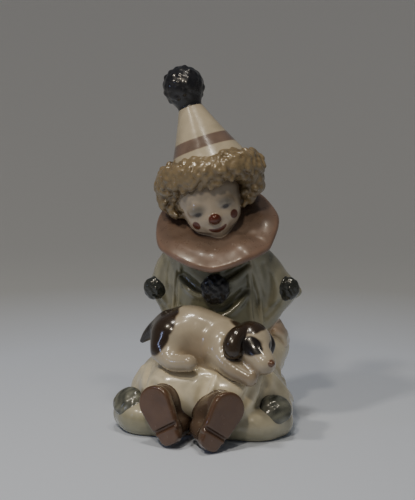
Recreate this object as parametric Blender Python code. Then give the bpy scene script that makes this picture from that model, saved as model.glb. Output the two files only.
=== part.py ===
"""A seated clown with a puppy asleep across the lap: a porcelain figurine, cast and fired as one piece.

Run it with  blender --background --python part.py  or from Blender's text editor. It leaves one closed
mesh object in the scene, in metres: +Z up, the clown facing -Y, the foot flat on Z = 0, and the origin at
the middle of the bounding box's underside.

Each sub-part is sculpted from strokes of clay, which are balls and limbs that melt into each other. They
are measured as a signed distance on a regular grid, the parts are joined with a thin fillet, as glaze
gives, and the skin of the result is thinned to a mesh of flat triangles.
"""

import math
from collections import namedtuple
from itertools import permutations

import bmesh
import bpy
import numpy as np
from mathutils import Euler

# Driving sizes, in metres
SHOULDER_HEIGHT = 0.076
HIP_WIDTH = 0.060
CUFF_SPREAD = 0.0755
LAP_HEIGHT = 0.0305
SHOE_LENGTH = 0.0248
SHOE_WIDTH = 0.0146
SHOE_SOLE = 0.0026
PUPPY_LENGTH = 0.054
COLLAR_RADIUS = 0.0260
COLLAR_THICKNESS = 0.0022
HEAD_WIDTH = 0.0280
HAIR_THICKNESS = 0.0060
HAT_LENGTH = 0.0280
HAT_TIP_WIDTH = 0.0096
HAT_BASE_WIDTH = 0.0360
HAT_POMPOM_WIDTH = 0.0188
CHEST_POMPOM_WIDTH = 0.0124
SLEEVE_POMPOM_WIDTH = 0.0096
CUFF_POMPOM_WIDTH = 0.0130
CURL_WIDTH = 0.0042

# The ruff's free folds: the angle of each, its half-width and its rise
COLLAR_PLEATS = (
    (0.10, 0.26, 1.1),
    (-0.42, 0.15, -1.3),
    (-0.95, 0.22, 0.9),
    (-1.50, 0.18, -0.8),
    (-2.10, 0.28, 0.7),
    (-2.62, 0.16, -0.9),
)

# How the clay is worked, in metres
GRID_STEP = 0.0009
SEAM_FILLET = 0.0007
MOST_TRIANGLES = 9600
FAR = 1.0

SIDES = (-1, 1)

Form = namedtuple("Form", "distance low high")
Stroke = namedtuple("Stroke", "form blend cuts")


def turned(x=0.0, y=0.0, z=0.0):
    """A rotation matrix from angles in degrees, about X first, then Y, then Z."""
    return np.array(Euler([math.radians(a) for a in (x, y, z)], "XYZ").to_matrix())


def smooth_min(a, b, blend):
    """The lower of two distances, rounded off where they differ by less than blend."""
    if blend <= 0:
        return np.minimum(a, b)
    share = np.clip(0.5 + 0.5 * (b - a) / blend, 0, 1)
    return b + (a - b) * share - blend * share * (1 - share)


def smooth_curve(points, steps):
    """Points along a Catmull-Rom curve through the given rows of numbers, steps to a span."""
    rows = np.array(points, float)
    padded = np.vstack([2 * rows[0] - rows[1], rows, 2 * rows[-1] - rows[-2]])
    found = []
    for a, b, c, d in zip(padded, padded[1:], padded[2:], padded[3:]):
        for t in np.arange(steps) / steps:
            found.append(
                b + 0.5 * t * (c - a + t * (2 * a - 5 * b + 4 * c - d + t * (3 * (b - c) + d - a)))
            )
    return np.array([*found, rows[-1]])


class Place:
    """A local frame with its own unit of length, in which the forms of one sub-part are given."""

    def __init__(self, origin, unit, turn=None):
        self.origin = np.array(origin, float)
        self.unit = unit
        self.turn = np.eye(3) if turn is None else turn

    def world(self, point):
        return self.origin + self.turn @ (np.array(point, float) * self.unit)

    def ball(self, centre, radii, turn=None):
        """An ellipsoid, or a sphere where radii is one number."""
        middle = self.world(centre)
        size = np.array(radii if np.ndim(radii) else [radii] * 3, float) * self.unit
        axes = self.turn if turn is None else self.turn @ turn

        def distance(x, y, z):
            dx, dy, dz = x - middle[0], y - middle[1], z - middle[2]
            local = [dx * axes[0, i] + dy * axes[1, i] + dz * axes[2, i] for i in range(3)]
            near = np.sqrt(sum((q / r) ** 2 for q, r in zip(local, size)))
            slope = np.sqrt(sum((q / r**2) ** 2 for q, r in zip(local, size)))
            return near * (near - 1) / np.maximum(slope, 1e-9)

        reach = np.sqrt((axes**2) @ (size**2))
        return Form(distance, middle - reach, middle + reach)

    def limb(self, points, radii, steps=1):
        """A chain of round cones through the points, on a smooth curve if steps > 1."""
        rows = np.column_stack([np.array(points, float), np.broadcast_to(radii, len(points))])
        if steps > 1:
            rows = smooth_curve(rows, steps)
        ends = np.array([self.world(row[:3]) for row in rows])
        sizes = rows[:, 3] * self.unit

        def distance(x, y, z):
            nearest = FAR
            for a, b, ra, rb in zip(ends, ends[1:], sizes, sizes[1:]):
                along = b - a
                dx, dy, dz = x - a[0], y - a[1], z - a[2]
                share = (dx * along[0] + dy * along[1] + dz * along[2]) / max(along @ along, 1e-12)
                share = np.clip(share, 0, 1)
                gap = np.sqrt(
                    (dx - share * along[0]) ** 2
                    + (dy - share * along[1]) ** 2
                    + (dz - share * along[2]) ** 2
                )
                nearest = np.minimum(nearest, gap - (ra + (rb - ra) * share))
            return nearest

        width = sizes[:, None]
        return Form(distance, (ends - width).min(0), (ends + width).max(0))

    def shape(self, distance, low, high):
        """A form from a function of local x, y and z, in this place's units, within a local box."""

        def in_world(x, y, z):
            dx, dy, dz = x - self.origin[0], y - self.origin[1], z - self.origin[2]
            axes = self.turn / self.unit
            local = [dx * axes[0, i] + dy * axes[1, i] + dz * axes[2, i] for i in range(3)]
            return distance(*local) * self.unit

        corners = [
            self.world([(low, high)[i][0], (low, high)[j][1], (low, high)[k][2]])
            for i in (0, 1)
            for j in (0, 1)
            for k in (0, 1)
        ]
        return Form(in_world, np.min(corners, axis=0), np.max(corners, axis=0))


def add(form, blend=0.0):
    return Stroke(form, blend, False)


def cut(form, blend=0.0):
    return Stroke(form, blend, True)


def worked(field, distance, stroke):
    """The field after one stroke, whose distances are given on the same points."""
    if stroke.cuts:
        return -smooth_min(-field, distance, stroke.blend)
    return smooth_min(field, distance, stroke.blend)


def distance_at(strokes, points):
    """The signed distance from each point to the skin of the strokes."""
    x, y, z = np.array(points, float).T
    field = np.full(len(x), FAR)
    for stroke in strokes:
        field = worked(field, stroke.form.distance(x, y, z), stroke)
    return field


def evenly_round(count):
    """Directions spread evenly over a sphere."""
    k = np.arange(count)
    height = 1 - 2 * (k + 0.5) / count
    ring = np.sqrt(1 - height * height)
    angle = math.pi * (3 - math.sqrt(5)) * k
    return np.column_stack([ring * np.cos(angle), ring * np.sin(angle), height])


def settled(strokes, starts, directions):
    """Where points that travel from their starts along their directions meet the skin of the strokes."""
    points = np.array(starts, float)
    steps = np.array(directions, float)
    steps /= np.linalg.norm(steps, axis=-1, keepdims=True)
    for _ in range(40):
        gaps = distance_at(strokes, np.atleast_2d(points)).reshape(points.shape[:-1] + (1,))
        points = points + steps * gaps * 0.85
    return points


def drawn(cloth, place, starts, direction, radii, steps=3):
    """A line of clay on the cloth, where points that travel along direction from their starts meet it."""
    starts = [place.world(start) for start in starts]
    points = settled(cloth, starts, [direction] * len(starts))
    radii = np.array(radii) * place.unit
    return Place((0, 0, 0), 1.0).limb(points, radii, steps)


class Grid:
    """A regular grid of points that covers a box, with planes half a step each side of Z = 0."""

    def __init__(self, low, high, step):
        self.step = step
        first = np.floor(np.array(low) / step) - 2.5
        last = np.ceil(np.array(high) / step) + 2.5
        self.axes = [np.arange(a, b + 0.5) * step for a, b in zip(first, last)]
        self.shape = tuple(len(axis) for axis in self.axes)

    def window(self, form, margin):
        """The index ranges of the points within margin of a form."""
        ranges = []
        for axis, low, high in zip(self.axes, form.low, form.high):
            first = np.searchsorted(axis, low - margin)
            ranges.append(slice(first, np.searchsorted(axis, high + margin, "right")))
        return tuple(ranges)

    def measured(self, strokes):
        """The signed distance to the skin of the strokes at every point of the grid."""
        field = np.full(self.shape, FAR)
        for stroke in strokes:
            window = self.window(stroke.form, stroke.blend + 3 * self.step)
            if any(w.stop <= w.start for w in window):
                continue
            x, y, z = np.meshgrid(
                *(axis[w] for axis, w in zip(self.axes, window)), indexing="ij", sparse=True
            )
            field[window] = worked(field[window], stroke.form.distance(x, y, z), stroke)
        return field


# The places of the sub-parts, each worked out from the sizes above
BODY = Place((0, 0, 0), SHOULDER_HEIGHT / 76)
LEG = Place((0, 0, 0), LAP_HEIGHT / 30.5)
PUPPY = Place(BODY.world((-0.5, -18.6, -0.4)) + np.array([0, 0, LAP_HEIGHT]), PUPPY_LENGTH / 54)
COLLAR = Place(BODY.world((0.4, -1.5, 83.8)), COLLAR_RADIUS / 26, turned(x=33))
HEAD = Place(BODY.world((-2.2, -2.2, 94.3)), HEAD_WIDTH / 28, turned(x=15, y=-18.5, z=10))
HAT = Place(BODY.world((-2.2, -0.2, 106.2)), HAT_LENGTH / 28, turned(x=-11, y=-21))


def trousers():
    """Wide trousers: the seat, two bent legs and the flared cuffs that lie on the floor."""
    hip = HIP_WIDTH / 2 / LEG.unit
    strokes = [
        add(LEG.ball((0, 13, 13), (hip - 3.5, 19, 19.5))),
        add(LEG.ball((0, 10, 3), (hip + 0.5, 22, 6)), 0.005),
        add(LEG.limb([(0, -4, 14.6), (-1, -21.5, 15.6)], [15, 13.8]), 0.005),
        add(LEG.ball((-2, -20, 4), (16, 9, 8)), 0.004),
    ]
    for s in SIDES:
        side = [(20 * s, 20, 25), (22 * s, 14.5, 28.5), (20 * s, 7, 26)]
        thigh = [(14 * s, 7, 17), (16.5 * s, -9, 16.5), (12.5 * s, -22.5, 16)]
        strokes += [
            add(LEG.limb(side, [7.5, 8.6, 7], 4), 0.004),
            add(LEG.limb(thigh, [14, 14.4, 13.3], 4), 0.005),
            add(LEG.limb([(24 * s - 1, -2, 9), (27 * s - 1, -11, 8)], [9.5, 8.5]), 0.006),
            add(cuff(s), 0.003),
        ]
    return strokes + trouser_folds(strokes)


def trouser_folds(cloth):
    """The crest between the knees, the creases at the ankles and hips, and the folds behind."""
    front = (0, 1, 0)
    crest = [(6.4, -60, 27.5), (5.6, -60, 24), (4.2, -60, 20), (2.4, -60, 16.5)]
    beside = [(2.6, -60, 25), (1.6, -60, 21.5), (0.2, -60, 18)]
    folds = [
        cut(drawn(cloth, LEG, beside, front, [0.5, 1.6, 0.5]), 0.004),
        add(drawn(cloth, LEG, crest, front, [0.6, 1.0, 1.0, 0.5]), 0.0012),
    ]
    for s in SIDES:
        ankle = [(7 * s, -60, 6), (14.5 * s, -60, 13), (20 * s, -60, 22)]
        shin = [(24.5 * s, -60, 26), (24.5 * s, -60, 20), (22.5 * s, -60, 14.5)]
        hip = [(60 * s, 2, 20), (60 * s, 12, 18.6), (60 * s, 20, 18.2)]
        thigh = [(60 * s, -4, 27), (60 * s, -2, 19), (60 * s, 4, 10)]
        knee = [(60 * s, -14, 24), (60 * s, -10, 17), (60 * s, -4, 11)]
        folds += [
            cut(drawn(cloth, LEG, ankle, front, [0.6, 1.4, 0.5]), 0.004),
            cut(drawn(cloth, LEG, shin, front, [0.5, 1.5, 0.4]), 0.003),
            cut(drawn(cloth, LEG, hip, (-s, 0, 0), [0.8, 1.8, 0.6]), 0.002),
            cut(drawn(cloth, LEG, thigh, (-s, 0, 0), [0.6, 1.3, 0.5]), 0.003),
            add(drawn(cloth, LEG, knee, (-s, 0, 0), [0.4, 0.8, 0.4]), 0.003),
        ]
        for k in range(3):
            x = (6 + 9 * k) * s
            behind = [(x, 60, 24 - 2 * k), (x + 2 * s, 60, 14), (x + 1 * s, 60, 4)]
            folds.append(cut(drawn(cloth, LEG, behind, (0, -1, 0), [0.4, 1.2, 0.6]), 0.004))
    return folds


def cuff(side):
    """A bell of a cuff, wider than the ankle, that rolls under where its hem meets the floor."""
    spread = CUFF_SPREAD / 2 / LEG.unit
    roll = [
        (side * 12 - 2, -28.5, 5.2),
        (side * (spread - 13) - 2, -26.5, 6),
        (side * (spread - 7.2) - 2, -19.5, 6),
    ]
    return LEG.limb(roll, [5.6, 7.2, 7.2], 5)


def jacket():
    """The tunic: chest, shoulders and two wide sleeves bent at the elbow."""
    strokes = [
        add(BODY.ball((0, 4.5, 55), (17.5, 14, 26))),
        add(BODY.ball((0, 4, 40), (20, 15, 12)), 0.004),
        add(BODY.limb([(-11, 3.5, 71), (11, 3.5, 71)], [9, 9]), 0.004),
    ]
    for s in SIDES:
        elbow = 30 + 1 * s
        upper = [(11.5 * s, 4, 70.5), (18.8 * s, 7, 62.5), ((elbow - 7) * s, 10, 54.6)]
        strokes += [
            add(BODY.limb(upper, [8.3, 8.5, 7.8], 4), 0.003),
            add(BODY.limb([((elbow - 6) * s, 11, 54.5), ((elbow + 1.4) * s, 12.5, 53.5)], [7.2, 2.4]), 0.003),
            add(BODY.limb([((elbow - 7) * s, 11, 54), (18 * s, 9, 42)], [7.6, 6.4]), 0.003),
        ]
    return strokes + jacket_folds(strokes)


def jacket_folds(cloth):
    """The cloth's folds: hanging curves across the chest, edges down its sides, and pulls on the sleeves."""
    front, back = (0, 1, 0), (0, -1, 0)
    folds = []
    for s in SIDES:
        inner = [(14.2 * s, -60, 70), (14.6 * s, -60, 60), (14.8 * s, -60, 52), (16.5 * s, -60, 40)]
        outer = [(15.0 * s, -60, 70), (17.2 * s, -60, 60), (18.4 * s, -60, 52), (19.5 * s, -60, 42)]
        pull = [(21 * s, -60, 67), (23 * s, -60, 58), (21.5 * s, -60, 48)]
        cuffed = [(27 * s, -60, 51), (24.5 * s, -60, 47.5), (21.5 * s, -60, 44)]
        blade = [(13 * s, 60, 72), (15.5 * s, 60, 62), (14.5 * s, 60, 50)]
        bend = [(30 * s, 60, 56), (24 * s, 60, 53), (19 * s, 60, 47)]
        folds += [
            add(drawn(cloth, BODY, inner, front, [0.6, 0.9, 0.9, 0.7]), 0.0012),
            add(drawn(cloth, BODY, outer, front, [0.4, 0.8, 0.8, 0.6]), 0.0012),
            cut(drawn(cloth, BODY, pull, front, [0.4, 1.3, 0.4]), 0.003),
            cut(drawn(cloth, BODY, cuffed, front, [0.3, 1.0, 0.4]), 0.002),
            cut(drawn(cloth, BODY, blade, back, [0.4, 1.5, 0.5]), 0.004),
            cut(drawn(cloth, BODY, bend, back, [0.4, 1.2, 0.4]), 0.003),
        ]
    sags = [((13.5, 68), (3, 62), 1.2), ((13.5, 57), (4, 49), 1.4), ((-13.5, 62), (-5, 57), 0.8)]
    for start, end, drop in sags:
        share = np.linspace(0, 1, 6)
        x = start[0] + (end[0] - start[0]) * share
        z = start[1] + (end[1] - start[1]) * share - drop * 4 * share * (1 - share)
        furrow = np.column_stack([x, np.full(6, -60), z])
        ridge = furrow - (0, 0, 2.6)
        folds.append(cut(drawn(cloth, BODY, furrow, front, [0.3, 1.3, 1.7, 1.7, 1.2, 0.3]), 0.004))
        folds.append(add(drawn(cloth, BODY, ridge, front, [0.2, 0.7, 0.9, 0.8, 0.5, 0.2]), 0.003))
    for low, width in ((68, 8), (58, 10), (48, 11)):
        curve = [(-width, 60, low + 3), (-width / 3, 60, low), (width / 3, 60, low), (width, 60, low + 3)]
        folds.append(cut(drawn(cloth, BODY, curve, back, [0.3, 1.1, 1.1, 0.3]), 0.003))
    return folds


def hands():
    """The hands that rest on the hips, with the fingers turned back."""
    strokes = []
    for s in SIDES:
        palm = [(18.5 * s, 10, 43), (22.5 * s, 11.5, 38), (24.8 * s, 12, 34.5)]
        strokes.append(add(BODY.limb(palm, [4.6, 4.6, 4.0], 3), 0.001))
        for k in range(4):
            y = 7.6 + 2.1 * k
            finger = [(24.5 * s, y, 37), (27 * s, y + 1.2, 35), (28.2 * s, y + 2.4, 31)]
            strokes.append(add(BODY.limb(finger, [1.5, 1.6, 1.2], 3), 0.0012))
    return strokes


def shoe_place(side):
    """The sole's own frame: its face looks along -Y and its toe points up."""
    middle = LEG.world((11.1 * side - 2.3, -42.2 - 1.2 * side, 12.3 - 0.3 * side))
    return Place(middle, SHOE_LENGTH / 24, turned(x=-5, y=2.5 + 32.5 * side, z=10 + 27 * side))


def shoe(side):
    """A shoe seen from below: an egg-shaped sole, a heel set off by a groove, and the upper behind."""
    place = shoe_place(side)
    half = SHOE_WIDTH / 2 / place.unit
    heel = half * 0.64
    sole = SHOE_SOLE / place.unit

    def tread(x, y, z):
        along = np.clip(z, heel - 12, 12 - half)
        share = (along - heel + 12) / (24 - half - heel)
        square = np.where(z < 0, 3.0, 2.0)
        reach = (np.abs(x) ** square + np.abs(z - along) ** square) ** (1 / square)
        inside = reach - (heel + (half - heel) * np.sqrt(share))
        slab = np.abs(y + 2.2) - sole / 2 - 0.5
        return -smooth_min(-inside, -slab, 1.0)

    def groove(x, y, z):
        return np.hypot((y + 3.9) * 0.8, z + 5.2) - 0.75

    box = (-half - 1, -5, -13), (half + 1, 3, 13)
    return [
        add(place.shape(tread, *box)),
        add(place.limb([(0, 3, 12 - half), (0, 10, 9 - half)], [half * 0.93, half * 0.8]), 0.0008),
        add(place.limb([(0, 3, heel - 11), (0, 8, heel - 10)], [heel * 1.0, heel]), 0.004),
        cut(place.shape(groove, *box), 0.0006),
    ]


def pompom(place, width, squash=1.0, tall=1.0, knobs=44, relief=0.06):
    """A tufted ball: low knobs spread over a core. Its place's Y axis points out of the cloth."""
    radius = width / 2 / place.unit
    shape = np.array([1, squash, tall])
    strokes = [add(place.ball((0, 0, 0), radius * 0.93 * shape))]
    size = radius * 1.75 / math.sqrt(knobs)
    chance = np.random.default_rng(knobs)
    for spot in evenly_round(knobs) + chance.normal(0, 0.35, (knobs, 3)) / math.sqrt(knobs):
        turn = turned(*chance.uniform(0, 180, 3))
        height = radius * (0.93 + relief * chance.uniform(0.2, 1)) - size * 0.75
        spot = spot / np.linalg.norm(spot) * shape * height
        strokes.append(add(place.ball(spot, (size, size * 0.65, size * 0.8), turn), 0.0006))
    return strokes


def medallion(place, width):
    """A flat round tuft: a low dome with one shallow swirl. Its place's Z axis points out of the cloth."""
    radius = width / 2 / place.unit
    turns = np.linspace(0.6, 3.4, 14) * math.pi
    far = radius * turns / (4 * math.pi)
    swirl = np.column_stack([far * np.cos(turns), far * np.sin(turns), 0.46 * np.sqrt(radius**2 - far**2)])
    return [
        add(place.ball((0, 0, 0), radius * np.array([1, 1, 0.42])), 0.0006),
        cut(place.limb(swirl, radius * 0.075), 0.0012),
    ]


def collar():
    """The ruff: a wide bowl of cloth with soft radial folds and a rim that rolls over."""
    half = COLLAR_THICKNESS / 2 / COLLAR.unit

    def ruff(x, y, z):
        r = np.hypot(x, y)
        angle = np.arctan2(y, x)
        swell = np.clip((r - 8) / 17, 0, 1.3)
        wave = 0.7 * np.sin(7 * angle + 0.6) + 0.5 * np.sin(4 * angle - 1.1)
        pleat = sum(
            size * np.exp(-(((angle - middle) / width) ** 2)) for middle, width, size in COLLAR_PLEATS
        )
        roll = 0.8 * np.exp(-(((r - 18) / 6) ** 2)) - 1.5 * np.clip((r - 19) / 7, 0, 1.3) ** 2
        height = roll - 0.6 + (0.5 * wave + pleat) * np.sqrt(swell)
        edge = 26 - 0.9 * np.clip(-x / 26, 0, 1) * np.clip(-y / 20, 0, 1) + 0.4 * wave
        plate = np.abs(z - height) * 0.9 - half
        return -smooth_min(-plate, edge - r, 1.2)

    ring = COLLAR.shape(ruff, (-30, -30, -7), (30, 30, 7))
    neck = BODY.limb([(0, 4, 70), (-1, 1, 90)], [9.5, 8.5])
    return [add(ring), add(neck, 0.005)]


def head():
    """The bowed head: a child's round skull, full cheeks, a small chin and a ball of a nose."""
    strokes = [
        add(HEAD.ball((0, 1.8, 2), (14, 14, 14))),
        add(HEAD.ball((0, -3.4, -4.6), (10.0, 10.0, 9.0)), 0.005),
        add(HEAD.ball((0, -9.0, -10.9), (3.0, 3.2, 3.1)), 0.004),
        add(HEAD.ball((0, -13.9, -3.4), (2.5, 2.1, 2.3)), 0.0008),
        add(HEAD.ball((0, -12.3, -8.0), (3.6, 1.4, 1.4)), 0.0020),
    ]
    for s in SIDES:
        strokes += [
            add(HEAD.ball((5.4 * s, -8.0, -4.6), (4.5, 4.2, 4.3)), 0.004),
            cut(HEAD.ball((5.9 * s, -16.2, 1.4), (4.4, 2.6, 2.4)), 0.003),
            add(HEAD.ball((5.9 * s, -9.9, 1.0), (3.2, 2.9, 2.5)), 0.002),
        ]
    return strokes


def hair_masses():
    """What the curls grow on: a thick roll round the hat, a puff at each ear and the nape."""
    thick = HAIR_THICKNESS / BODY.unit
    ring = [
        (-1.5, -12.4, 105.8, 1.08),
        (8.0, -9.6, 108.0, 1.05),
        (13.0, 0.0, 107.6, 1.08),
        (9.0, 9.0, 105.6, 1.05),
        (-3.0, 13.0, 102.6, 1.1),
        (-14.0, 9.5, 100.4, 1.1),
        (-18.0, -1.0, 100.2, 1.1),
        (-11.6, -10.0, 102.4, 1.05),
        (-1.5, -12.4, 105.8, 1.08),
    ]
    rows = np.array(ring)
    left = [(-18.0, -1.5, 99.5), (-18.4, -2.5, 94.5), (-15.0, -3.2, 90.4)]
    right = [(13.0, -1.0, 106), (15.0, -1.2, 101.5), (13.0, -1.4, 97.8)]
    return [
        add(BODY.limb(rows[:, :3], rows[:, 3] * thick, 3)),
        add(BODY.limb(left, [thick * 1.0, thick * 0.9, thick * 0.62], 3), 0.002),
        add(BODY.limb(right, [thick * 0.9, thick * 0.75, thick * 0.6], 3), 0.002),
        add(BODY.ball((-2.6, 8.5, 97), (15.5, 9.5, 12)), 0.004),
    ]


def curl_roots(strokes, spacing):
    """Even places over the hair, found by letting points fall on it from all round."""
    middle = BODY.world((-2.6, 0, 100))
    count = int(4 * math.pi * (0.021 / spacing) ** 2)
    outs = evenly_round(count)
    roots = settled(strokes, middle + outs * 0.06, -outs)
    landed = distance_at(strokes, roots) < 0.0002
    return roots[landed], outs[landed]


def hair():
    """Curly hair: a soft lump for every lock and a shallow furrow beside it, on the masses below."""
    masses = hair_masses()
    strokes = list(masses)
    size = CURL_WIDTH / 2
    here = Place((0, 0, 0), 1.0)
    chance = np.random.default_rng(11)
    for root, out in zip(*curl_roots(masses, CURL_WIDTH * 0.9)):
        side = np.cross(out, chance.normal(size=3))
        side /= np.linalg.norm(side)
        root = root + side * size * chance.uniform(-0.6, 0.6)
        over = np.cross(out, side)
        lump = [root - side * size * 0.6, root + side * size * 0.4 + out * size * 0.15]
        furrow = root + side * size * 1.15 + out * size * 0.3
        furrow = [furrow - over * size * 0.7, furrow + over * size * 0.7 + out * size * 0.2]
        strokes.append(add(here.limb(lump, size * chance.uniform((0.5, 0.35), (0.75, 0.6))), 0.0012))
        strokes.append(cut(here.limb(furrow, size * 0.16), 0.0012))
    return strokes


def hat():
    """The tall cone of a hat, whose base is sunk in the hair."""
    tip = HAT_TIP_WIDTH / 2 / HAT.unit
    base = HAT_BASE_WIDTH / 2 / HAT.unit
    length = HAT_LENGTH / HAT.unit
    slant = math.cos(math.atan2(base - tip, length))

    def cone(x, y, z):
        share = np.clip(z / length, -0.2, 1.1)
        reach = base + (tip - base) * (share + 0.14 * share * (1 - share))
        side = (np.hypot(x, y) - reach) * slant
        return -smooth_min(-side, 0.5 * length - np.abs(z - 0.5 * length), 0.8)

    return [add(HAT.shape(cone, (-base - 2, -base - 2, -1), (base + 2, base + 2, length + 1)))]


def hat_pompom():
    """The tufted ball on the hat's tip, drawn in below like a pear where it grips the tip."""
    radius = HAT_POMPOM_WIDTH / 2
    length = HAT_LENGTH / HAT.unit
    middle = HAT.world((0.2, 0, length + 0.92 * radius / HAT.unit))
    neck = Place((0, 0, 0), 1.0).limb(
        [middle, HAT.world((0, 0, length - 0.4))], [radius * 0.9, HAT_TIP_WIDTH * 0.5]
    )
    tufts = pompom(Place(middle, 1.0, HAT.turn), HAT_POMPOM_WIDTH, 1.0, 1.0, 110, 0.07)
    return [add(neck), *tufts]


def chest_button(cloth):
    """The tufted ball on the chest, settled on the cloth it trims."""
    chest = settled(cloth, BODY.world((1.8, -60, 58)), (0, 1, 0)) - np.array([0, 0.0016, 0])
    return pompom(Place(chest, 1.0), CHEST_POMPOM_WIDTH, 0.55, 1.08, 90, 0.05)


def side_buttons(cloth, legs):
    """The tufted balls on the sleeves and the cuffs, each settled on the cloth it trims."""
    strokes = []
    for s in SIDES:
        elbow = settled(cloth, BODY.world((28.65 * s + 1.4, -60, 55.4 + 0.9 * s)), (0, 1, 0))
        strokes += pompom(Place(elbow, 1.0), SLEEVE_POMPOM_WIDTH, 0.6, 1.05, 60, 0.06)
        trim = settled(legs, LEG.world((31 * s - 1.6, -61.1, 59.1)), (0, 0.62, -0.79))
        strokes += medallion(Place(trim, 1.0, turned(x=38, y=24 * s)), CUFF_POMPOM_WIDTH)
    return strokes


def puppy():
    """The puppy lying across the lap, head on its paw, with a hanging ear and a short tail."""
    back = [(-13.8, 2.5, 10.5), (-6.5, 1.5, 11.8), (3, 1, 10), (11, -1, 8.6)]
    hind = [(-16.0, -9.0, 5.0), (-11, -15.4, 1.9), (-4.4, -18.0, 2.0)]
    front = [(7, -9, 5), (12.4, -14, 1.0), (20.6, -17.6, -2.4)]
    return [
        add(PUPPY.limb(back, [9.6, 10.2, 9.0, 8.0], 8)),
        add(PUPPY.ball((-13, -4.6, 9.6), (9.2, 8.6, 9.6)), 0.003),
        add(PUPPY.limb(hind, [5.2, 3.7, 3.6], 5), 0.0035),
        add(PUPPY.ball((7.5, -6.5, 7.4), (7.2, 6.8, 8)), 0.003),
        add(PUPPY.limb([(-8, -4, 4), (6, -5, 3)], [8.4, 8.0]), 0.004),
        add(PUPPY.limb(front, [5.6, 4.4, 3.3], 5), 0.002),
        add(tail(), 0.0015),
        add(PUPPY.ball((19.3, -6.6, 10), (8.4, 8, 8.3)), 0.0015),
        add(PUPPY.limb([(20.8, -10, 7.6), (26.2, -15.6, 3.6)], [6.6, 4.7]), 0.003),
        add(PUPPY.ball((29.6, -18.8, 4.4), (1.5, 1.4, 1.3)), 0.0004),
        add(near_ear(), 0.0006),
        add(far_ear(), 0.0006),
    ]


def tail():
    line = [(-17, 3, 14.0), (-22, 6, 11.2), (-26.4, 8, 7.8), (-29.0, 8.5, 4.8)]
    return PUPPY.limb(line, [4.2, 3.4, 2.2, 1.0], 4)


def near_ear():
    """The ear that hangs in front, a thick leaf from the crown to the cheek."""
    line = [(18.0, -8.6, 15.4), (15.0, -12.2, 13.4), (13.6, -14.6, 10.6), (13.8, -15.6, 8.4)]
    return PUPPY.limb(line, [2.6, 3.8, 4.2, 3.9], 5)


def far_ear():
    return PUPPY.limb([(23.8, -2.0, 13), (26.2, -2.4, 8.4), (26.2, -3, 5.4)], [2, 2.6, 2.0], 5)


def named_parts():
    """The sub-parts in the order in which they are joined."""
    cloth = jacket()
    legs = trousers()
    return [
        ("trousers", legs),
        ("jacket", cloth),
        ("hands", hands()),
        *(("shoe", shoe(s)) for s in SIDES),
        ("collar", collar()),
        ("head", head()),
        ("hat", hat()),
        ("hair", hair()),
        ("hat_pompom", hat_pompom()),
        ("chest_pompom", chest_button(cloth)),
        ("side_pompoms", side_buttons(cloth, legs)),
        ("puppy", puppy()),
    ]


def tetrahedron_table():
    """For each pattern of corners inside a tetrahedron, the edges that its triangles join."""
    table = {}
    even = [p for p in permutations(range(4)) if np.linalg.det(np.eye(4)[list(p)]) > 0]
    for mask in range(1, 15):
        inside = [i for i in range(4) if mask >> i & 1]
        count = len(inside)
        a, b, c, d = next(p for p in even if sorted(p[:count]) == inside)
        if count == 1:
            table[mask] = [((a, b), (a, c), (a, d))]
        elif count == 2:
            table[mask] = [((a, c), (a, d), (b, d)), ((a, c), (b, d), (b, c))]
        else:
            table[mask] = [((a, d), (b, d), (c, d))]
    return table


def skin(grid, field):
    """The closed surface where the field is zero, as points and triangles, by marching tetrahedra."""
    field = np.where(np.abs(field) < 1e-7, 1e-7, field)
    count = np.array(grid.shape)
    strides = np.array([count[1] * count[2], count[2], 1])
    flat = field.ravel()
    inside = field < 0
    block = tuple(slice(0, -1) for _ in range(3))
    corner_steps = [np.array([k & 1, k >> 1 & 1, k >> 2 & 1]) for k in range(8)]
    total = sum(
        inside[tuple(slice(s, n - 1 + s) for s, n in zip(step, count))].astype(np.int8)
        for step in corner_steps
    )
    cells = np.argwhere((total > 0) & (total < 8) & np.ones_like(inside[block]))
    base = cells @ strides
    corners = np.array([base + step @ strides for step in corner_steps]).T
    table = tetrahedron_table()
    starts, ends = [], []
    for first, second in permutations((1, 2, 4), 2):
        tetra = [0, first, first + second, 7]
        edges = [corner_steps[i] - corner_steps[0] for i in tetra[1:]]
        if np.linalg.det(np.array(edges, float)) < 0:
            tetra[2], tetra[3] = tetra[3], tetra[2]
        nodes = corners[:, tetra]
        masks = (flat[nodes] < 0) @ np.array([1, 2, 4, 8])
        for mask, triangles in table.items():
            chosen = nodes[masks == mask]
            for triangle in triangles:
                starts.append(np.column_stack([chosen[:, i] for i, _ in triangle]))
                ends.append(np.column_stack([chosen[:, j] for _, j in triangle]))
    start, end = np.vstack(starts), np.vstack(ends)
    low, high = np.minimum(start, end), np.maximum(start, end)
    keys, index = np.unique(low * flat.size + high, return_inverse=True)
    a, b = keys // flat.size, keys % flat.size
    share = flat[a] / (flat[a] - flat[b])
    places = np.array(np.unravel_index(a, grid.shape)), np.array(np.unravel_index(b, grid.shape))
    start_points, end_points = (
        np.column_stack([axis[rows] for axis, rows in zip(grid.axes, place)]) for place in places
    )
    points = start_points + (end_points - start_points) * share[:, None]
    return points, index.reshape(-1, 3)


def outer_skin(points, triangles):
    """The largest connected surface, which leaves out what is closed in under the cloth."""
    label = np.arange(len(points))
    while True:
        lowest = label[triangles].min(axis=1)
        best = label.copy()
        for k in range(3):
            np.minimum.at(best, triangles[:, k], lowest)
        best = best[best]
        if (best == label).all():
            break
        label = best
    names, counts = np.unique(label[triangles[:, 0]], return_counts=True)
    kept = triangles[label[triangles[:, 0]] == names[counts.argmax()]]
    used, index = np.unique(kept, return_inverse=True)
    return points[used], index.reshape(-1, 3)


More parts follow.
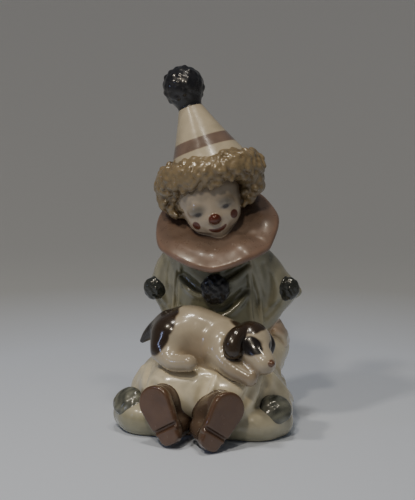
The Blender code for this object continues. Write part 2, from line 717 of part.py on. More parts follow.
def figure():
    """Points and triangles of the whole figure, cut off flat at the floor."""
    strokes = [part for _, part in named_parts()]
    low = np.min([stroke.form.low for part in strokes for stroke in part], axis=0)
    high = np.max([stroke.form.high for part in strokes for stroke in part], axis=0)
    grid = Grid((low[0], low[1], 0), high, GRID_STEP)
    field = np.full(grid.shape, FAR)
    for part in strokes:
        field = smooth_min(field, grid.measured(part), SEAM_FILLET)
    field = np.maximum(field, -grid.axes[2])
    return outer_skin(*skin(grid, field))


def glaze():
    """White glazed porcelain."""
    material = bpy.data.materials.new("glazed_porcelain")
    material.use_nodes = True
    shader = material.node_tree.nodes["Principled BSDF"]
    shader.inputs["Base Color"].default_value = (0.74, 0.70, 0.62, 1)
    shader.inputs["Roughness"].default_value = 0.12
    shader.inputs["Metallic"].default_value = 0.0
    return material


def thinned(name, points, triangles):
    """A mesh of at most MOST_TRIANGLES flat triangles that follows the given skin."""
    dense = bpy.data.meshes.new(name)
    dense.from_pydata(points.tolist(), [], triangles.tolist())
    carrier = bpy.data.objects.new(name + "_dense", dense)
    bpy.context.scene.collection.objects.link(carrier)
    fewer = carrier.modifiers.new("fewer", "DECIMATE")
    fewer.ratio = min(1.0, MOST_TRIANGLES / len(triangles))
    fewer.use_collapse_triangulate = True
    reduced = bpy.data.meshes.new_from_object(carrier.evaluated_get(bpy.context.evaluated_depsgraph_get()))
    bpy.data.objects.remove(carrier)
    bpy.data.meshes.remove(dense)
    return reduced


def stood(mesh):
    """Flattens the foot to Z = 0 and moves the mesh so that the origin is under the middle of its box."""
    work = bmesh.new()
    work.from_mesh(mesh)
    spots = np.array([v.co for v in work.verts])
    middle = (spots.min(axis=0) + spots.max(axis=0)) / 2
    for vertex in work.verts:
        vertex.co.x -= middle[0]
        vertex.co.y -= middle[1]
        if vertex.co.z < GRID_STEP / 4:
            vertex.co.z = 0
    work.to_mesh(mesh)
    work.free()
    return mesh


def main():
    for old in list(bpy.data.objects):
        bpy.data.objects.remove(old)
    points, triangles = figure()
    mesh = stood(thinned("clown_figurine", points, triangles))
    mesh.name = "clown_figurine"
    mesh.materials.append(glaze())
    mesh.shade_smooth()
    figurine = bpy.data.objects.new("clown_figurine", mesh)
    bpy.context.scene.collection.objects.link(figurine)


if __name__ == "__main__":
    main()
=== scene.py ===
"""The looks of a porcelain figurine: a seated clown with a puppy asleep across the lap.

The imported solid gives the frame. Each sub-part is sculpted again from the same strokes of clay, on finer
grids, and becomes one closed mesh under its own painted glaze. All lengths are in metres; +Z is up and the
clown faces -Y.
"""

import math
from collections import namedtuple
from itertools import product

import bpy
import numpy as np
from mathutils import Euler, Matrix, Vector


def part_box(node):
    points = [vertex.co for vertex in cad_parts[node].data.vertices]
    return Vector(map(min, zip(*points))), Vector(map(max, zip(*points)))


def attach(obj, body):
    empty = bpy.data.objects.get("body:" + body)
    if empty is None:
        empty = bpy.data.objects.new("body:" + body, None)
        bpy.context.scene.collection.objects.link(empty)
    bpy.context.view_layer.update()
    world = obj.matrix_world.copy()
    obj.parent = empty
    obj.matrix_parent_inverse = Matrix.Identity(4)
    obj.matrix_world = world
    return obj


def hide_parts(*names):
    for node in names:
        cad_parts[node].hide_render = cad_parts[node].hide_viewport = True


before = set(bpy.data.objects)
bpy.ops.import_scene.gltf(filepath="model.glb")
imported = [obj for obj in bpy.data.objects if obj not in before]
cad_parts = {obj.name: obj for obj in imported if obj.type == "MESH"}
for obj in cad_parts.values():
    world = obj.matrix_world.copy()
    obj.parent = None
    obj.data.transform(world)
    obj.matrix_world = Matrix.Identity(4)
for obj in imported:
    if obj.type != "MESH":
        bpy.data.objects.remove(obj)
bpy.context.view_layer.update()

NODE = "clown_figurine"

# Driving sizes, as the solid has them
SHOULDER_HEIGHT = 0.076
HIP_WIDTH = 0.060
CUFF_SPREAD = 0.0755
LAP_HEIGHT = 0.0305
SHOE_LENGTH = 0.0248
SHOE_WIDTH = 0.0146
SHOE_SOLE = 0.0026
PUPPY_LENGTH = 0.054
COLLAR_RADIUS = 0.0260
COLLAR_THICKNESS = 0.0022
HEAD_WIDTH = 0.0280
HAIR_THICKNESS = 0.0060
HAT_LENGTH = 0.0280
HAT_TIP_WIDTH = 0.0096
HAT_BASE_WIDTH = 0.0360
HAT_POMPOM_WIDTH = 0.0188
CHEST_POMPOM_WIDTH = 0.0124
SLEEVE_POMPOM_WIDTH = 0.0096
CUFF_POMPOM_WIDTH = 0.0130
CURL_WIDTH = 0.0042

# The ruff's free folds: the angle of each, its half-width and its rise
COLLAR_PLEATS = (
    (0.10, 0.26, 1.1),
    (-0.42, 0.15, -1.3),
    (-0.95, 0.22, 0.9),
    (-1.50, 0.18, -0.8),
    (-2.10, 0.28, 0.7),
    (-2.62, 0.16, -0.9),
)

# How the clay is worked
SEAM_FILLET = 0.0009
SEAM_SUNK = 0.00012
# How far the pooled glaze and painted shade reach, in the nooks between parts and in small pits
NOOK_STEP = 0.0010
NOOK_REACH = 0.0022
PIT_REACH = 0.0008
FAR = 1.0

SIDES = (-1, 1)

Form = namedtuple("Form", "distance low high")
Stroke = namedtuple("Stroke", "form blend cuts")


def turned(x=0.0, y=0.0, z=0.0):
    """A rotation matrix from angles in degrees, about X first, then Y, then Z."""
    return np.array(Euler([math.radians(a) for a in (x, y, z)], "XYZ").to_matrix())


def smooth_min(a, b, blend):
    """The lower of two distances, rounded off where they differ by less than blend."""
    if blend <= 0:
        return np.minimum(a, b)
    share = np.clip(0.5 + 0.5 * (b - a) / blend, 0, 1)
    return b + (a - b) * share - blend * share * (1 - share)


def smooth_step(value, low, high):
    """0 at low, 1 at high and a soft slope between them."""
    share = np.clip((value - low) / (high - low), 0, 1)
    return share * share * (3 - 2 * share)


def smooth_curve(points, steps):
    """Points along a Catmull-Rom curve through the given rows of numbers, steps to a span."""
    rows = np.array(points, float)
    padded = np.vstack([2 * rows[0] - rows[1], rows, 2 * rows[-1] - rows[-2]])
    found = []
    for a, b, c, d in zip(padded, padded[1:], padded[2:], padded[3:]):
        for t in np.arange(steps) / steps:
            found.append(
                b + 0.5 * t * (c - a + t * (2 * a - 5 * b + 4 * c - d + t * (3 * (b - c) + d - a)))
            )
    return np.array([*found, rows[-1]])


class Place:
    """A local frame with its own unit of length, in which the forms of one sub-part are given."""

    def __init__(self, origin, unit, turn=None):
        self.origin = np.array(origin, float)
        self.unit = unit
        self.turn = np.eye(3) if turn is None else turn

    def world(self, point):
        return self.origin + self.turn @ (np.array(point, float) * self.unit)

    def local(self, points):
        """Local x, y and z of rows of points."""
        return ((points - self.origin) @ self.turn / self.unit).T

    def ball(self, centre, radii, turn=None):
        """An ellipsoid, or a sphere where radii is one number."""
        middle = self.world(centre)
        size = np.array(radii if np.ndim(radii) else [radii] * 3, float) * self.unit
        axes = self.turn if turn is None else self.turn @ turn

        def distance(x, y, z):
            dx, dy, dz = x - middle[0], y - middle[1], z - middle[2]
            local = [dx * axes[0, i] + dy * axes[1, i] + dz * axes[2, i] for i in range(3)]
            near = np.sqrt(sum((q / r) ** 2 for q, r in zip(local, size)))
            slope = np.sqrt(sum((q / r**2) ** 2 for q, r in zip(local, size)))
            return near * (near - 1) / np.maximum(slope, 1e-9)

        reach = np.sqrt((axes**2) @ (size**2))
        return Form(distance, middle - reach, middle + reach)

    def limb(self, points, radii, steps=1):
        """A chain of round cones through the points, on a smooth curve if steps > 1."""
        rows = np.column_stack([np.array(points, float), np.broadcast_to(radii, len(points))])
        if steps > 1:
            rows = smooth_curve(rows, steps)
        ends = np.array([self.world(row[:3]) for row in rows])
        sizes = rows[:, 3] * self.unit

        def distance(x, y, z):
            nearest = FAR
            for a, b, ra, rb in zip(ends, ends[1:], sizes, sizes[1:]):
                along = b - a
                dx, dy, dz = x - a[0], y - a[1], z - a[2]
                share = (dx * along[0] + dy * along[1] + dz * along[2]) / max(along @ along, 1e-12)
                share = np.clip(share, 0, 1)
                gap = np.sqrt(
                    (dx - share * along[0]) ** 2
                    + (dy - share * along[1]) ** 2
                    + (dz - share * along[2]) ** 2
                )
                nearest = np.minimum(nearest, gap - (ra + (rb - ra) * share))
            return nearest

        width = sizes[:, None]
        return Form(distance, (ends - width).min(0), (ends + width).max(0))

    def shape(self, distance, low, high):
        """A form from a function of local x, y and z, in this place's units, within a local box."""

        def in_world(x, y, z):
            dx, dy, dz = x - self.origin[0], y - self.origin[1], z - self.origin[2]
            axes = self.turn / self.unit
            local = [dx * axes[0, i] + dy * axes[1, i] + dz * axes[2, i] for i in range(3)]
            return distance(*local) * self.unit

        corners = [
            self.world([(low, high)[i][0], (low, high)[j][1], (low, high)[k][2]])
            for i, j, k in product((0, 1), repeat=3)
        ]
        return Form(in_world, np.min(corners, axis=0), np.max(corners, axis=0))


def add(form, blend=0.0):
    return Stroke(form, blend, False)


def cut(form, blend=0.0):
    return Stroke(form, blend, True)


def worked(field, distance, stroke):
    """The field after one stroke, whose distances are given on the same points."""
    if stroke.cuts:
        return -smooth_min(-field, distance, stroke.blend)
    return smooth_min(field, distance, stroke.blend)


def distance_at(strokes, points):
    """The signed distance from each point to the skin of the strokes."""
    x, y, z = np.array(points, float).T
    field = np.full(len(x), FAR)
    for stroke in strokes:
        field = worked(field, stroke.form.distance(x, y, z), stroke)
    return field


def evenly_round(count):
    """Directions spread evenly over a sphere."""
    k = np.arange(count)
    height = 1 - 2 * (k + 0.5) / count
    ring = np.sqrt(1 - height * height)
    angle = math.pi * (3 - math.sqrt(5)) * k
    return np.column_stack([ring * np.cos(angle), ring * np.sin(angle), height])


def settled(strokes, starts, directions):
    """Where points that travel from their starts along their directions meet the skin of the strokes."""
    points = np.array(starts, float)
    steps = np.array(directions, float)
    steps /= np.linalg.norm(steps, axis=-1, keepdims=True)
    for _ in range(40):
        gaps = distance_at(strokes, np.atleast_2d(points)).reshape(points.shape[:-1] + (1,))
        points = points + steps * gaps * 0.85
    return points


def drawn(cloth, place, starts, direction, radii, steps=3):
    """A line of clay on the cloth, where points that travel along direction from their starts meet it."""
    starts = [place.world(start) for start in starts]
    points = settled(cloth, starts, [direction] * len(starts))
    radii = np.array(radii) * place.unit
    return Place((0, 0, 0), 1.0).limb(points, radii, steps)


class Grid:
    """A regular grid of points that covers a box, with planes half a step each side of Z = 0."""

    def __init__(self, low, high, step):
        self.step = step
        first = np.floor(np.array(low) / step) - 2.5
        last = np.ceil(np.array(high) / step) + 2.5
        self.axes = [np.arange(a, b + 0.5) * step for a, b in zip(first, last)]
        self.first = first * step
        self.shape = tuple(len(axis) for axis in self.axes)

    def window(self, form, margin):
        """The index ranges of the points within margin of a form."""
        ranges = []
        for axis, low, high in zip(self.axes, form.low, form.high):
            first = np.searchsorted(axis, low - margin)
            ranges.append(slice(first, np.searchsorted(axis, high + margin, "right")))
        return tuple(ranges)

    def measured(self, strokes):
        """The signed distance to the skin of the strokes at every point of the grid."""
        field = np.full(self.shape, FAR)
        for stroke in strokes:
            window = self.window(stroke.form, stroke.blend + 3 * self.step)
            if any(w.stop <= w.start for w in window):
                continue
            x, y, z = np.meshgrid(
                *(axis[w] for axis, w in zip(self.axes, window)), indexing="ij", sparse=True
            )
            field[window] = worked(field[window], stroke.form.distance(x, y, z), stroke)
        return field

    def sampled(self, field, points):
        """The field at any points, interpolated between the grid's own."""
        spots = np.clip((points - self.first) / self.step, 0, np.array(self.shape) - 1.001)
        base = spots.astype(int)
        share = spots - base
        total = np.zeros(len(points))
        for corner in product((0, 1), repeat=3):
            weight = np.where(corner, share, 1 - share).prod(axis=1)
            total += weight * field[tuple((base + corner).T)]
        return total

    def slope(self, field, points):
        """The direction out of the skin at any points, as unit rows."""
        found = np.column_stack([
            self.sampled(field, points + way) - self.sampled(field, points - way)
            for way in np.eye(3) * self.step * 0.5
        ])
        return found / np.maximum(np.linalg.norm(found, axis=1, keepdims=True), 1e-9)


# The places of the sub-parts, each worked out from the sizes above
BODY = Place((0, 0, 0), SHOULDER_HEIGHT / 76)
LEG = Place((0, 0, 0), LAP_HEIGHT / 30.5)
PUPPY = Place(BODY.world((-0.5, -18.6, -0.4)) + np.array([0, 0, LAP_HEIGHT]), PUPPY_LENGTH / 54)
COLLAR = Place(BODY.world((0.4, -1.5, 83.8)), COLLAR_RADIUS / 26, turned(x=33))
HEAD = Place(BODY.world((-2.2, -2.2, 94.3)), HEAD_WIDTH / 28, turned(x=15, y=-18.5, z=10))
HAT = Place(BODY.world((-2.2, -0.2, 106.2)), HAT_LENGTH / 28, turned(x=-11, y=-21))


def trousers():
    """Wide trousers: the seat, two bent legs and the flared cuffs that lie on the floor."""
    hip = HIP_WIDTH / 2 / LEG.unit
    strokes = [
        add(LEG.ball((0, 13, 13), (hip - 3.5, 19, 19.5))),
        add(LEG.ball((0, 10, 3), (hip + 0.5, 22, 6)), 0.005),
        add(LEG.limb([(0, -4, 14.6), (-1, -20, 17.2), (-1, -26.0, 18.2)], [15, 13.7, 12.2]), 0.005),
        add(LEG.ball((-2, -20, 4), (16, 9, 8)), 0.004),
    ]
    for s in SIDES:
        side = [(20 * s - 1, 20, 25), (22 * s - 1.2, 14.5, 28.5), (20 * s - 1, 7, 26)]
        thigh = [
            (14 * s, 7, 17),
            (16 * s - 1.2, -9, 16.5),
            (12.5 * s - 1, -19, 17),
            (11.5 * s - 1, -25.5, 17.6),
        ]
        strokes += [
            add(LEG.limb(side, [7.5, 8.6, 7], 4), 0.004),
            add(LEG.limb(thigh, [14, 14.2, 13.4, 12.2], 4), 0.005),
            add(LEG.limb([(24 * s - 1, -2, 9), (27 * s - 1, -11, 8)], [9.5, 8.5]), 0.006),
            add(cuff(s), 0.003),
        ]
    return strokes + trouser_folds(strokes)


def trouser_folds(cloth):
    """The crest between the knees, the creases at the ankles and hips, and the folds behind."""
    front = (0, 1, 0)
    crest = [(6.4, -60, 27.5), (5.6, -60, 24), (4.2, -60, 20), (2.4, -60, 16.5)]
    beside = [(2.6, -60, 25), (1.6, -60, 21.5), (0.2, -60, 18)]
    folds = [
        cut(drawn(cloth, LEG, beside, front, [0.5, 1.6, 0.5]), 0.004),
        add(drawn(cloth, LEG, crest, front, [0.6, 1.0, 1.0, 0.5]), 0.0012),
    ]
    for s in SIDES:
        ankle = [(7 * s, -60, 6), (14.5 * s, -60, 13), (20 * s, -60, 22)]
        shin = [(24.5 * s, -60, 26), (24.5 * s, -60, 20), (22.5 * s, -60, 14.5)]
        hip = [(60 * s, 2, 20), (60 * s, 12, 18.6), (60 * s, 20, 18.2)]
        thigh = [(60 * s, -4, 27), (60 * s, -2, 19), (60 * s, 4, 10)]
        knee = [(60 * s, -14, 24), (60 * s, -10, 17), (60 * s, -4, 11)]
        folds += [
            cut(drawn(cloth, LEG, ankle, front, [0.6, 1.4, 0.5]), 0.004),
            cut(drawn(cloth, LEG, shin, front, [0.5, 1.5, 0.4]), 0.003),
            cut(drawn(cloth, LEG, hip, (-s, 0, 0), [0.8, 1.8, 0.6]), 0.002),
            cut(drawn(cloth, LEG, thigh, (-s, 0, 0), [0.6, 1.3, 0.5]), 0.003),
            add(drawn(cloth, LEG, knee, (-s, 0, 0), [0.4, 0.8, 0.4]), 0.003),
        ]
        for k in range(3):
            x = (6 + 9 * k) * s
            behind = [(x, 60, 24 - 2 * k), (x + 2 * s, 60, 14), (x + 1 * s, 60, 4)]
            folds.append(cut(drawn(cloth, LEG, behind, (0, -1, 0), [0.4, 1.2, 0.6]), 0.004))
    return folds


def cuff(side):
    """A bell of a cuff, wider than the ankle, that rolls under where its hem meets the floor."""
    spread = CUFF_SPREAD / 2 / LEG.unit
    roll = [
        (side * 12 - 2, -28.5, 5.2),
        (side * (spread - 13) - 2, -26.5, 6),
        (side * (spread - 7.2) - 2, -19.5, 6),
    ]
    return LEG.limb(roll, [5.6, 7.2, 7.2], 5)


def jacket():
    """The tunic: chest, shoulders and two wide sleeves bent at the elbow."""
    strokes = [
        add(BODY.ball((0, 4.5, 55), (17.5, 14, 26))),
        add(BODY.ball((0, 4, 40), (20, 15, 12)), 0.004),
        add(BODY.limb([(-11, 3.5, 71), (11, 3.5, 71)], [9, 9]), 0.004),
    ]
    for s in SIDES:
        elbow = 30 + 1 * s
        upper = [(11.5 * s, 4, 70.5), (18.8 * s, 7, 62.5), ((elbow - 7) * s, 10, 54.6)]
        point = [((elbow - 6) * s, 11, 54.5), ((elbow + 1.4) * s, 12.5, 53.5)]
        lower = [((elbow - 7) * s, 11, 54), (18 * s, 9, 42)]
        strokes += [
            add(BODY.limb(upper, [8.3, 8.5, 7.8], 4), 0.003),
            add(BODY.limb(point, [7.2, 2.4]), 0.003),
            add(BODY.limb(lower, [7.6, 6.4]), 0.003),
        ]
    return strokes + jacket_folds(strokes)


def jacket_folds(cloth):
    """The cloth's folds: curves hanging across the chest, edges down its sides, pulls on the sleeves."""
    front, back = (0, 1, 0), (0, -1, 0)
    folds = []
    for s in SIDES:
        inner = [(14.2 * s, -60, 70), (14.6 * s, -60, 60), (14.8 * s, -60, 52), (16.5 * s, -60, 40)]
        outer = [(15.0 * s, -60, 70), (17.2 * s, -60, 60), (18.4 * s, -60, 52), (19.5 * s, -60, 42)]
        pull = [(21 * s, -60, 67), (23 * s, -60, 58), (21.5 * s, -60, 48)]
        cuffed = [(27 * s, -60, 51), (24.5 * s, -60, 47.5), (21.5 * s, -60, 44)]
        blade = [(13 * s, 60, 72), (15.5 * s, 60, 62), (14.5 * s, 60, 50)]
        bend = [(30 * s, 60, 56), (24 * s, 60, 53), (19 * s, 60, 47)]
        folds += [
            add(drawn(cloth, BODY, inner, front, [0.6, 0.9, 0.9, 0.7]), 0.0012),
            add(drawn(cloth, BODY, outer, front, [0.4, 0.8, 0.8, 0.6]), 0.0012),
            cut(drawn(cloth, BODY, pull, front, [0.4, 1.3, 0.4]), 0.003),
            cut(drawn(cloth, BODY, cuffed, front, [0.3, 1.0, 0.4]), 0.002),
            cut(drawn(cloth, BODY, blade, back, [0.4, 1.5, 0.5]), 0.004),
            cut(drawn(cloth, BODY, bend, back, [0.4, 1.2, 0.4]), 0.003),
        ]
    sags = [((13.5, 68), (3, 62), 1.2), ((13.5, 57), (4, 49), 1.4), ((-13.5, 62), (-5, 57), 0.8)]
    for start, end, drop in sags:
        share = np.linspace(0, 1, 6)
        x = start[0] + (end[0] - start[0]) * share
        z = start[1] + (end[1] - start[1]) * share - drop * 4 * share * (1 - share)
        furrow = np.column_stack([x, np.full(6, -60), z])
        ridge = furrow - (0, 0, 2.6)
        folds.append(cut(drawn(cloth, BODY, furrow, front, [0.3, 1.3, 1.7, 1.7, 1.2, 0.3]), 0.004))
        folds.append(add(drawn(cloth, BODY, ridge, front, [0.2, 0.7, 0.9, 0.8, 0.5, 0.2]), 0.003))
    for low, width in ((68, 8), (58, 10), (48, 11)):
        curve = [(-width, 60, low + 3), (-width / 3, 60, low), (width / 3, 60, low), (width, 60, low + 3)]
        folds.append(cut(drawn(cloth, BODY, curve, back, [0.3, 1.1, 1.1, 0.3]), 0.003))
    return folds


def hands():
    """The hands that rest on the hips, with the fingers turned back."""
    strokes = []
    for s in SIDES:
        palm = [(18.5 * s, 10, 43), (22.5 * s, 11.5, 38), (24.8 * s, 12, 34.5)]
        strokes.append(add(BODY.limb(palm, [4.6, 4.6, 4.0], 3), 0.001))
        for k in range(4):
            y = 7.6 + 2.1 * k
            finger = [(24.5 * s, y, 37), (27 * s, y + 1.2, 35), (28.2 * s, y + 2.4, 31)]
            strokes.append(add(BODY.limb(finger, [1.5, 1.6, 1.2], 3), 0.0012))
    return strokes


def shoe_place(side):
    """The sole's own frame: its face looks along -Y and its toe points up."""
    middle = LEG.world((11.1 * side - 2.3, -42.2 - 1.2 * side, 12.3 - 0.3 * side))
    return Place(middle, SHOE_LENGTH / 24, turned(x=-5, y=2.5 + 32.5 * side, z=10 + 27 * side))


def shoe(side):
    """A shoe seen from below: an egg-shaped sole, a heel set off by a groove, and the upper behind."""
    place = shoe_place(side)
    half = SHOE_WIDTH / 2 / place.unit
    heel = half * 0.64
    sole = SHOE_SOLE / place.unit

    def tread(x, y, z):
        along = np.clip(z, heel - 12, 12 - half)
        share = (along - heel + 12) / (24 - half - heel)
        square = np.where(z < 0, 3.0, 2.0)
        reach = (np.abs(x) ** square + np.abs(z - along) ** square) ** (1 / square)
        inside = reach - (heel + (half - heel) * np.sqrt(share))
        slab = np.abs(y + 2.2) - sole / 2 - 0.5
        return -smooth_min(-inside, -slab, 1.0)

    def groove(x, y, z):
        return np.hypot((y + 3.9) * 0.8, z + 5.2) - 0.75

    box = (-half - 1, -5, -13), (half + 1, 3, 13)
    return [
        add(place.shape(tread, *box)),
        add(place.limb([(0, 3, 12 - half), (0, 10, 9 - half)], [half * 0.93, half * 0.8]), 0.0008),
        add(place.limb([(0, 3, heel - 11), (0, 8, heel - 10)], [heel * 1.0, heel]), 0.004),
        cut(place.shape(groove, *box), 0.0006),
    ]


def pompom(place, width, squash=1.0, tall=1.0, knobs=44, relief=0.06):
    """A tufted ball: low knobs spread over a core. Its place's Y axis points out of the cloth."""
    radius = width / 2 / place.unit
    shape = np.array([1, squash, tall])
    strokes = [add(place.ball((0, 0, 0), radius * 0.93 * shape))]
    size = radius * 1.75 / math.sqrt(knobs)
    chance = np.random.default_rng(knobs)
    for spot in evenly_round(knobs) + chance.normal(0, 0.35, (knobs, 3)) / math.sqrt(knobs):
        turn = turned(*chance.uniform(0, 180, 3))
        height = radius * (0.93 + relief * chance.uniform(0.2, 1)) - size * 0.75
        spot = spot / np.linalg.norm(spot) * shape * height
        strokes.append(add(place.ball(spot, (size, size * 0.65, size * 0.8), turn), 0.0009))
    return strokes


def medallion(place, width):
    """A flat round tuft: a low dome of soft lumps. Its place's Z axis points out of the cloth."""
    radius = width / 2 / place.unit
    strokes = [add(place.ball((0, 0, 0), radius * np.array([1, 1, 0.42])), 0.0006)]
    for x, y, z in evenly_round(30)[:15]:
        middle = radius * np.array([0.66 * x, 0.66 * y, 0.30 * z])
        strokes.append(add(place.ball(middle, radius * np.array([0.26, 0.2, 0.17])), 0.0012))
    return strokes


def collar():
    """The ruff: a wide bowl of cloth with soft radial folds and a rim that rolls over."""
    half = COLLAR_THICKNESS / 2 / COLLAR.unit

    def ruff(x, y, z):
        r = np.hypot(x, y)
        angle = np.arctan2(y, x)
        swell = np.clip((r - 8) / 17, 0, 1.3)
        wave = 0.7 * np.sin(7 * angle + 0.6) + 0.5 * np.sin(4 * angle - 1.1)
        pleat = sum(
            size * np.exp(-(((angle - middle) / width) ** 2)) for middle, width, size in COLLAR_PLEATS
        )
        roll = 0.8 * np.exp(-(((r - 18) / 6) ** 2)) - 1.5 * np.clip((r - 19) / 7, 0, 1.3) ** 2
        height = roll - 0.6 + (0.5 * wave + pleat) * np.sqrt(swell)
        edge = 26 - 0.9 * np.clip(-x / 26, 0, 1) * np.clip(-y / 20, 0, 1) + 0.4 * wave
        plate = np.abs(z - height) * 0.9 - half
        return -smooth_min(-plate, edge - r, 1.2)

    ring = COLLAR.shape(ruff, (-30, -30, -7), (30, 30, 7))
    neck = BODY.limb([(0, 4, 70), (-1, 1, 90)], [9.5, 8.5])
    return [add(ring), add(neck, 0.005)]


def head():
    """The bowed head: a child's round skull, full cheeks, a small chin and a ball of a nose."""
    strokes = [
        add(HEAD.ball((0, 1.8, 2), (14, 14, 14))),
        add(HEAD.ball((0, -3.4, -4.6), (10.0, 10.0, 9.0)), 0.005),
        add(HEAD.ball((0, -9.0, -10.9), (3.0, 3.2, 3.1)), 0.004),
        add(HEAD.ball((0, -13.9, -3.4), (2.5, 2.1, 2.3)), 0.0008),
        add(HEAD.ball((0, -12.3, -8.0), (3.6, 1.4, 1.4)), 0.0020),
    ]
    for s in SIDES:
        strokes += [
            add(HEAD.ball((5.4 * s, -8.0, -4.6), (4.5, 4.2, 4.3)), 0.004),
            cut(HEAD.ball((5.9 * s, -16.2, 1.4), (4.4, 2.6, 2.4)), 0.003),
            add(HEAD.ball((5.9 * s, -9.9, 1.0), (3.2, 2.9, 2.5)), 0.002),
        ]
    return strokes


def hair_masses():
    """What the curls grow on: a thick roll round the hat, a puff at each ear and the nape."""
    thick = HAIR_THICKNESS / BODY.unit
    ring = [
        (-1.5, -13.3, 106.8, 0.88),
        (8.0, -10.6, 108.8, 0.9),
        (13.0, 0.0, 107.6, 1.08),
        (9.0, 9.0, 105.6, 1.05),
        (-3.0, 13.0, 102.6, 1.1),
        (-14.0, 9.5, 100.4, 1.1),
        (-18.0, -1.0, 100.2, 1.1),
        (-11.6, -10.8, 103.3, 0.93),
        (-1.5, -13.3, 106.8, 0.88),
    ]
    rows = np.array(ring)
    left = [(-18.0, -1.5, 99.5), (-18.4, -2.5, 94.5), (-15.0, -3.2, 90.4)]
    right = [(13.0, -1.0, 106), (15.0, -1.2, 101.5), (13.0, -1.4, 97.8)]
    return [
        add(BODY.limb(rows[:, :3], rows[:, 3] * thick, 3)),
        add(BODY.limb(left, [thick * 1.0, thick * 0.9, thick * 0.62], 3), 0.002),
        add(BODY.limb(right, [thick * 0.9, thick * 0.75, thick * 0.6], 3), 0.002),
        add(BODY.ball((-2.6, 8.5, 97), (15.5, 9.5, 12)), 0.004),
    ]


def curl_roots(strokes, spacing):
    """Even places over the hair, found by letting points fall on it from all round."""
    middle = BODY.world((-2.6, 0, 100))
    count = int(4 * math.pi * (0.021 / spacing) ** 2)
    outs = evenly_round(count)
    roots = settled(strokes, middle + outs * 0.06, -outs)
    landed = distance_at(strokes, roots) < 0.0002
    return roots[landed], outs[landed]


def locks(strokes, width, spacing, sunk, blend):
    """Soft lumps of uneven size that lie every way over the strokes below."""
    size = width / 2
    here = Place((0, 0, 0), 1.0)
    chance = np.random.default_rng(11)
    found = []
    for root, out in zip(*curl_roots(strokes, spacing)):
        side = np.cross(out, chance.normal(size=3))
        side /= np.linalg.norm(side)
        root = root + side * size * chance.uniform(-0.5, 0.5) - out * size * sunk
        lump = [root - side * size * 0.45, root + side * size * 0.45]
        found.append(add(here.limb(lump, size * chance.uniform((0.5, 0.4), (0.85, 0.75))), blend))
    return found


def hair():
    """Curly hair: large soft locks over the masses, and small curls over the locks."""
    strokes = hair_masses()
    strokes += locks(strokes, CURL_WIDTH, CURL_WIDTH * 0.8, 0.25, 0.0012)
    return strokes + locks(strokes, CURL_WIDTH * 0.74, CURL_WIDTH * 0.64, 0.4, 0.0010)


def hat():
    """The tall cone of a hat, whose base is sunk in the hair."""
    tip = HAT_TIP_WIDTH / 2 / HAT.unit
    base = HAT_BASE_WIDTH / 2 / HAT.unit
    length = HAT_LENGTH / HAT.unit
    slant = math.cos(math.atan2(base - tip, length))

    def cone(x, y, z):
        share = np.clip(z / length, -0.2, 1.1)
        reach = base + (tip - base) * (share + 0.14 * share * (1 - share))
        side = (np.hypot(x, y) - reach) * slant
        return -smooth_min(-side, 0.5 * length - np.abs(z - 0.5 * length), 0.8)

    return [add(HAT.shape(cone, (-base - 2, -base - 2, -1), (base + 2, base + 2, length + 1)))]


def hat_pompom():
    """The tufted ball on the hat's tip, drawn in below like a pear where it grips the tip."""
    radius = HAT_POMPOM_WIDTH / 2
    length = HAT_LENGTH / HAT.unit
    middle = HAT.world((0.2, 0, length + 0.92 * radius / HAT.unit))
    neck = Place((0, 0, 0), 1.0).limb(
        [middle, HAT.world((0, 0, length - 0.4))], [radius * 0.9, HAT_TIP_WIDTH * 0.5]
    )
    tufts = pompom(Place(middle, 1.0, HAT.turn), HAT_POMPOM_WIDTH * 0.96, 1.0, 1.0, 80, 0.045)
    return [add(neck), *tufts]


def chest_button(cloth):
    """The tufted ball on the chest, settled on the cloth it trims."""
    chest = settled(cloth, BODY.world((1.8, -60, 58)), (0, 1, 0)) - np.array([0, 0.0016, 0])
    return pompom(Place(chest, 1.0), CHEST_POMPOM_WIDTH, 0.55, 1.08, 60, 0.03)


def side_buttons(cloth, legs):
    """The tufted balls on the sleeves and the cuffs, each settled on the cloth it trims."""
    strokes = []
    for s in SIDES:
        elbow = settled(cloth, BODY.world((28.65 * s + 1.4, -60, 55.4 + 0.9 * s)), (0, 1, 0))
        strokes += pompom(Place(elbow, 1.0), SLEEVE_POMPOM_WIDTH, 0.6, 1.05, 50, 0.025)
        trim = settled(legs, LEG.world((31 * s - 1.6, -61.1, 59.1)), (0, 0.62, -0.79))
        strokes += medallion(Place(trim, 1.0, turned(x=38, y=24 * s)), CUFF_POMPOM_WIDTH)
    return strokes


